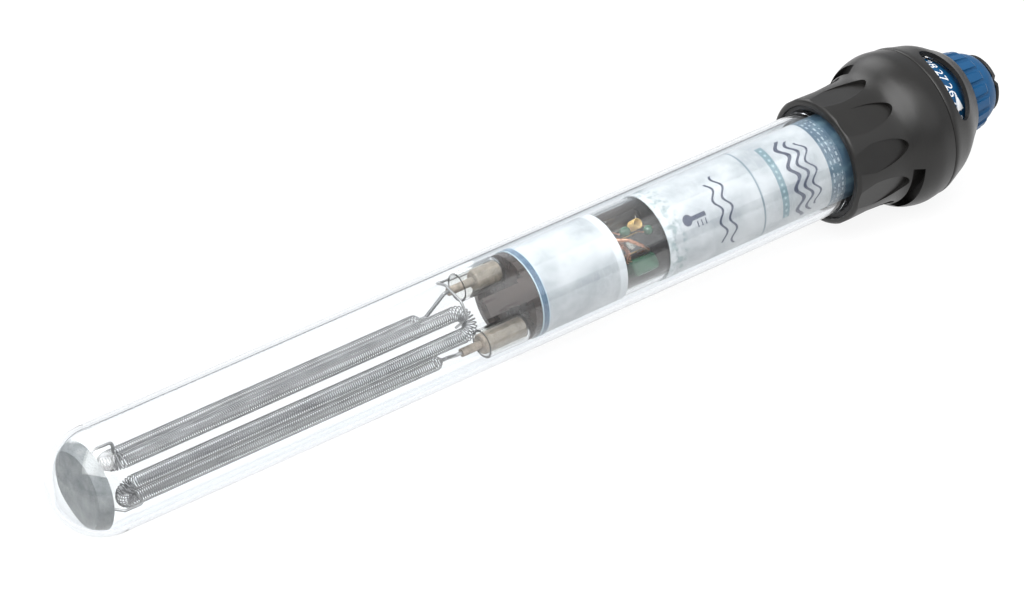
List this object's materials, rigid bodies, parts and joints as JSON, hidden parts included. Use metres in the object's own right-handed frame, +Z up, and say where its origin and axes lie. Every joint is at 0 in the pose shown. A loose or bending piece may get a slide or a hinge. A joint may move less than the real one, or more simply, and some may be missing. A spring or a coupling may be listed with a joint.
{
  "type": "submersible aquarium heater",
  "caption": "Sealed glass tube with a folded heating coil and thermostat inside, closed by a black bulb-shaped head with a scale window and a ribbed temperature dial.",
  "frame": {"origin": "on the tube's axis at the middle of its bare straight glass, where a clip grips it", "axes": "+X along the axis towards the head and dial, the domed tip at -X; +Z up with the heater lying level; the scale, the label and the see-through band face -Y, turned 40 degrees up"},
  "size_m": [0.2767, 0.0386, 0.0386],
  "materials": {
    "clear_glass": "clear borosilicate glass",
    "black_plastic": "satin black, finely textured",
    "blue_plastic": "satin blue",
    "seal_rubber": "black rubber",
    "brown_phenolic": "dark brown moulding",
    "printed_foil": "silver-white satin foil with blue-grey bands",
    "clear_plastic": "clear thin plastic",
    "blue_grey_plastic": "blue-grey",
    "tan_ceramic": "fired tan ceramic",
    "resistance_wire": "drawn wire, close wound",
    "steel": "plain steel wire",
    "brass": "stamped brass",
    "copper": "bare copper",
    "silver_alloy": "polished contact alloy",
    "grey_fibre": "pressed mineral fibre",
    "white_ceramic": "fired ceramic",
    "green_epoxy": "dipped green",
    "brown_lead": "brown insulation",
    "blue_lead": "blue insulation"
  },
  "bodies": {
    "heater": {"glass_tube": "clear_glass", "head_shell": "black_plastic", "top_cap": "black_plastic", "tube_gasket": "seal_rubber", "tube_stopper": "seal_rubber", "cord_post": "black_plastic", "dial_o_ring": "seal_rubber", "inner_tube": "clear_plastic", "label_sleeve": "printed_foil", "crown_ring": "blue_grey_plastic", "crown": "brown_phenolic", "lower_terminal_ferrule": "tan_ceramic", "upper_terminal_ferrule": "tan_ceramic", "lower_terminal_sleeve": "clear_glass", "upper_terminal_sleeve": "clear_glass", "terminal_pins": "steel", "heating_coil": "resistance_wire", "lower_coil_tail": "resistance_wire", "upper_coil_tail": "resistance_wire", "lower_tip_hook": "steel", "upper_tip_hook": "steel", "crown_hook": "steel", "ceramic_bead": "white_ceramic", "end_pad": "grey_fibre", "thermostat_frame": "brown_phenolic", "arm_bracket": "brass", "arm_pin": "steel", "contact_plate": "brass", "fixed_contact": "silver_alloy", "snap_magnet": "steel", "capacitor": "green_epoxy", "indicator_lamp": "clear_glass", "copper_link": "copper", "live_lead": "brown_lead", "neutral_lead": "blue_lead"},
    "temperature_dial": {"dial": "blue_plastic"},
    "spindle": {"adjusting_spindle": "brass", "spindle_pinion": "brass", "spindle_collar": "brass"},
    "nut": {"adjusting_nut": "brass"},
    "bimetal_arm": {"bimetal_strip": "steel", "moving_contact": "silver_alloy"}
  },
  "joints": [
    {"name": "dial_turn", "type": "hinge", "parent": "heater", "child": "temperature_dial", "pos_m": [0.145, 0.00097, 0.00114], "axis": [1, 0, 0], "range_deg": [-144, 144]},
    {"name": "spindle_turn", "type": "hinge", "parent": "heater", "child": "spindle", "pos_m": [0.125, -0.00462, -0.00543], "axis": [1, 0, 0], "range_deg": [-513, 513]},
    {"name": "nut_slide", "type": "slide", "parent": "heater", "child": "nut", "axis": [1, 0, 0], "range_m": [-0.00072, 0.00072]},
    {"name": "arm_swing", "type": "hinge", "parent": "heater", "child": "bimetal_arm", "pos_m": [0.0765, -0.00221, 0.00188], "axis": [0, -0.6481, -0.7615], "range_deg": [-0.6, 0.85], "stiffness_Nm_per_rad": 0.05}
  ],
  "couplings": [
    {"joint": "spindle_turn", "follows": "dial_turn", "ratio": 3.5556},
    {"joint": "nut_slide", "follows": "dial_turn", "m_per_rad": 0.00028294}
  ]
}
